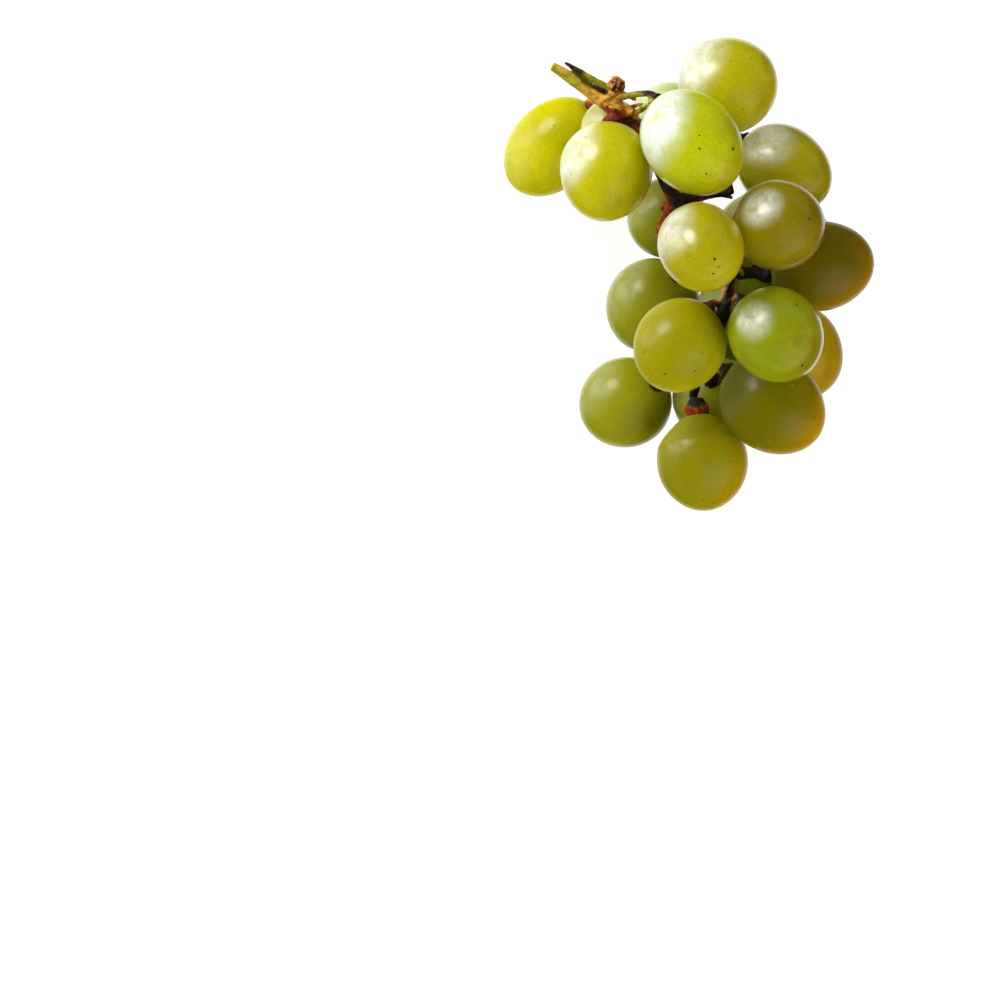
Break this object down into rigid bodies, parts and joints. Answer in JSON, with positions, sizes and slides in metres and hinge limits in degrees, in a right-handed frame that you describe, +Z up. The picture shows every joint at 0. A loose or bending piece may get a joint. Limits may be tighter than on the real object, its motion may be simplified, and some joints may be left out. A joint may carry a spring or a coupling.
{
  "type": "bunch of grapes",
  "caption": "Small bunch of plump green table grapes on their branching stem, lying on its back, for a fruit bowl, table or drink setting.",
  "frame": {"origin": "on the surface that the bunch lies on, under the middle of its outline", "axes": "+Z up, +Y along the bunch towards its cut stalk, +X across it"},
  "size_m": [0.0714, 0.0912, 0.0572],
  "materials": {
    "skin_yellow": "smooth translucent grape skin with a thin waxy bloom",
    "skin_lime": "smooth translucent grape skin with a thin waxy bloom",
    "skin_pale": "smooth translucent grape skin with a thin waxy bloom",
    "skin_green": "smooth translucent grape skin with a thin waxy bloom",
    "skin_olive": "smooth translucent grape skin with a thin waxy bloom",
    "skin_amber": "smooth translucent grape skin with a thin waxy bloom",
    "skin_deep": "smooth translucent grape skin with a thin waxy bloom",
    "stem": "green to brown stalk, matt, darker inside the bunch"
  },
  "bodies": {
    "root": {"grape_left_shoulder": "skin_yellow", "grape_left_inner": "skin_yellow", "grape_front_middle": "skin_yellow", "grape_front_top": "skin_lime", "grape_top": "skin_lime", "grape_right_shoulder": "skin_lime", "grape_front_lower_left": "skin_lime", "grape_small_shoulder": "skin_pale", "grape_back_top": "skin_pale", "grape_front_lower_right": "skin_green", "grape_front_right": "skin_olive", "grape_lower_right": "skin_olive", "grape_tip": "skin_olive", "grape_right": "skin_amber", "grape_back_right": "skin_amber", "grape_back_middle": "skin_deep", "grape_back_upper_right": "skin_deep", "grape_back_left": "skin_deep", "grape_back_lower_left": "skin_deep", "grape_back_lower": "skin_deep", "grape_core": "skin_deep", "stem": "stem"}
  },
  "joints": []
}
